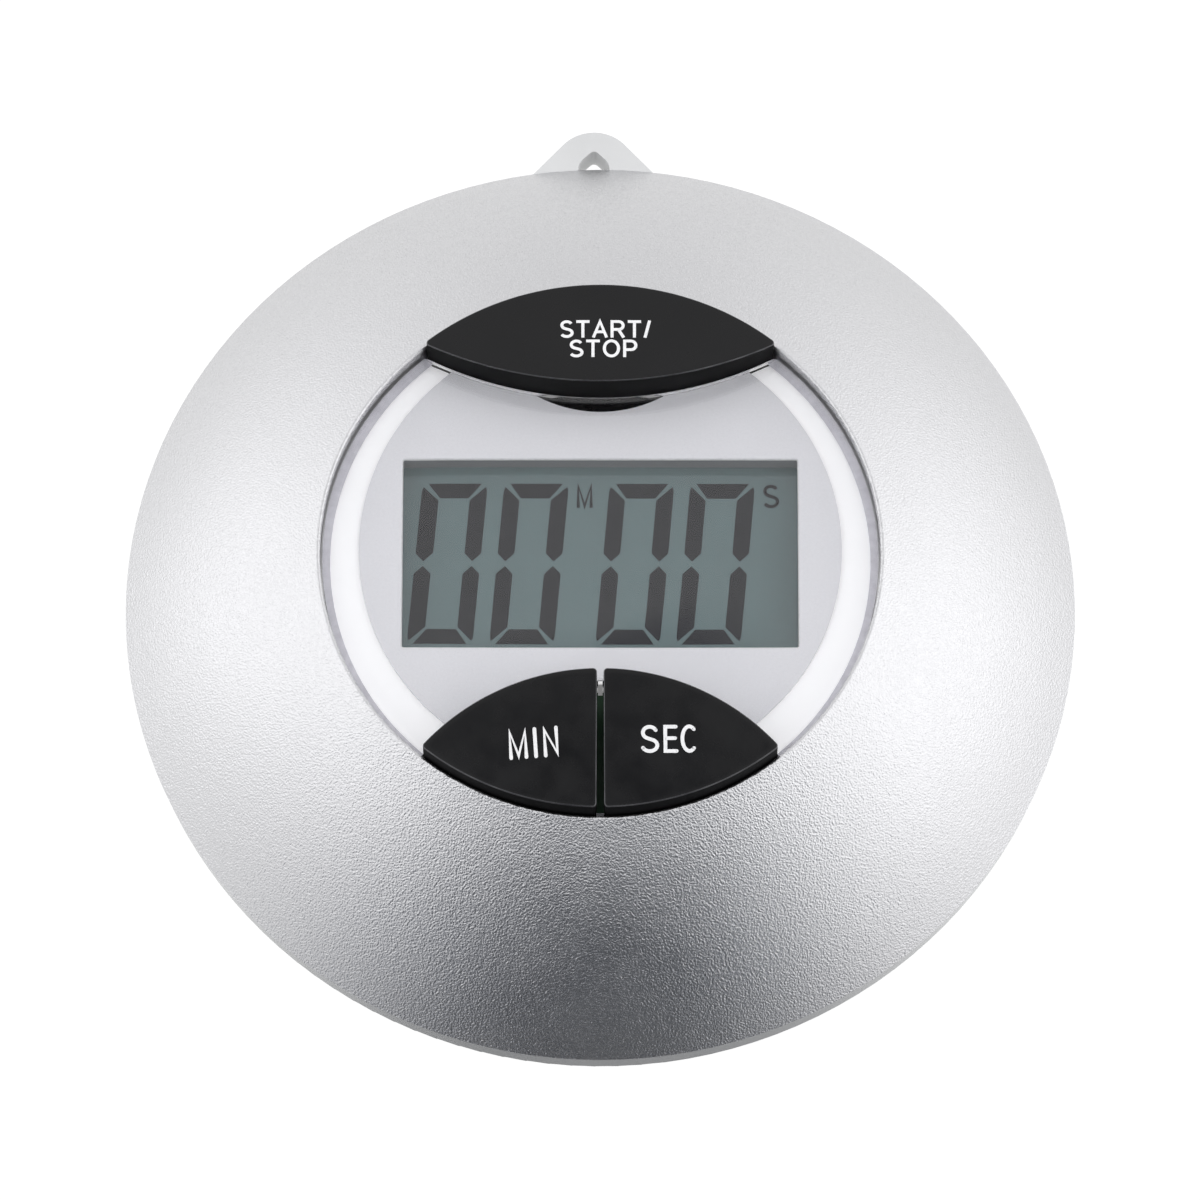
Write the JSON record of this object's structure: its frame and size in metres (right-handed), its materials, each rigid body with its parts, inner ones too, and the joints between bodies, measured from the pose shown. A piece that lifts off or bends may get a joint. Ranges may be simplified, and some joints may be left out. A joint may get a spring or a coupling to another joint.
{
  "type": "lab timer",
  "caption": "Round countdown timer with a domed silver case, large display, three push buttons, hanging eye, magnets and fold-out stand.",
  "frame": {"origin": "centre of the flat back face", "axes": "+Z out of the display, +Y towards the hanging eye, +X to the right of the display"},
  "size_m": [0.095, 0.0991, 0.0229],
  "materials": {
    "silver_paint": "metallic silver paint over ABS, fine orange-peel grain, satin gloss",
    "clear_lens": "clear polished acrylic",
    "dial_foil": "silver-grey printed foil, satin",
    "white_plastic": "white moulded ABS, smooth",
    "black_button": "black moulded ABS, semi-gloss, fine texture",
    "key_rubber": "grey silicone rubber, matt",
    "lcd_film": "grey-green polariser film, smooth",
    "lcd_glass": "clear display glass with ground edges",
    "lcd_foil": "matt silver reflector foil",
    "zebra_rubber": "layered conductive silicone, matt",
    "board_green": "green solder mask on glass-fibre board",
    "black_epoxy": "glossy black epoxy drop",
    "component_ceramic": "fired ceramic with tinned ends",
    "screw_steel": "zinc-plated steel",
    "buzzer_brass": "bare brass disc, satin",
    "buzzer_ceramic": "silvered piezo ceramic, matt",
    "red_insulation": "red PVC insulation, satin",
    "black_insulation": "black PVC insulation, satin",
    "cell_steel": "nickel-plated steel can, bright",
    "contact_bronze": "nickel-plated phosphor bronze, satin",
    "grey_plastic": "light grey moulded ABS, fine matt texture",
    "magnet_nickel": "bright nickel-plated magnet"
  },
  "bodies": {
    "root": {"front_shell": "silver_paint", "window_lens": "clear_lens", "dial_plate": "dial_foil", "inner_frame": "white_plastic", "start_stop_key_dome": "key_rubber", "min_key_dome": "key_rubber", "sec_key_dome": "key_rubber", "lcd_front_polariser": "lcd_film", "lcd_front_glass": "lcd_glass", "lcd_rear_glass": "lcd_glass", "lcd_reflector": "lcd_foil", "lcd_holder": "white_plastic", "zebra_strips": "zebra_rubber", "circuit_board": "board_green", "chip_blob": "black_epoxy", "quartz_crystal": "screw_steel", "chip_components": "component_ceramic", "board_screws": "screw_steel", "buzzer_plate": "buzzer_brass", "buzzer_ceramic": "buzzer_ceramic", "buzzer_lead_red": "red_insulation", "buzzer_lead_black": "black_insulation", "button_cell": "cell_steel", "positive_contact": "contact_bronze", "negative_contact": "contact_bronze", "back_case": "grey_plastic", "case_screws": "screw_steel", "magnets": "magnet_nickel", "stand_pin": "screw_steel"},
    "start_stop_button": {"start_stop_button": "black_button"},
    "min_button": {"min_button": "black_button"},
    "sec_button": {"sec_button": "black_button"},
    "battery_cover": {"battery_cover": "grey_plastic"},
    "stand": {"stand": "grey_plastic"}
  },
  "joints": [
    {"name": "start_stop_press", "type": "slide", "parent": "root", "child": "start_stop_button", "axis": [0, 0, -1], "range_m": [0, 0.0008], "stiffness_N_per_m": 1200, "springref_m": -0.0005, "deforming": ["start_stop_key_dome"]},
    {"name": "min_press", "type": "slide", "parent": "root", "child": "min_button", "axis": [0, 0, -1], "range_m": [0, 0.0008], "stiffness_N_per_m": 1200, "springref_m": -0.0005, "deforming": ["min_key_dome"]},
    {"name": "sec_press", "type": "slide", "parent": "root", "child": "sec_button", "axis": [0, 0, -1], "range_m": [0, 0.0008], "stiffness_N_per_m": 1200, "springref_m": -0.0005, "deforming": ["sec_key_dome"]},
    {"name": "battery_cover_turn", "type": "hinge", "parent": "root", "child": "battery_cover", "pos_m": [0.016, 0.017, 0.0008], "axis": [0, 0, -1], "range_deg": [0, 45]},
    {"name": "stand_fold", "type": "hinge", "parent": "root", "child": "stand", "pos_m": [0, -0.004, 0.00175], "axis": [1, 0, 0], "range_deg": [0, 55]}
  ]
}
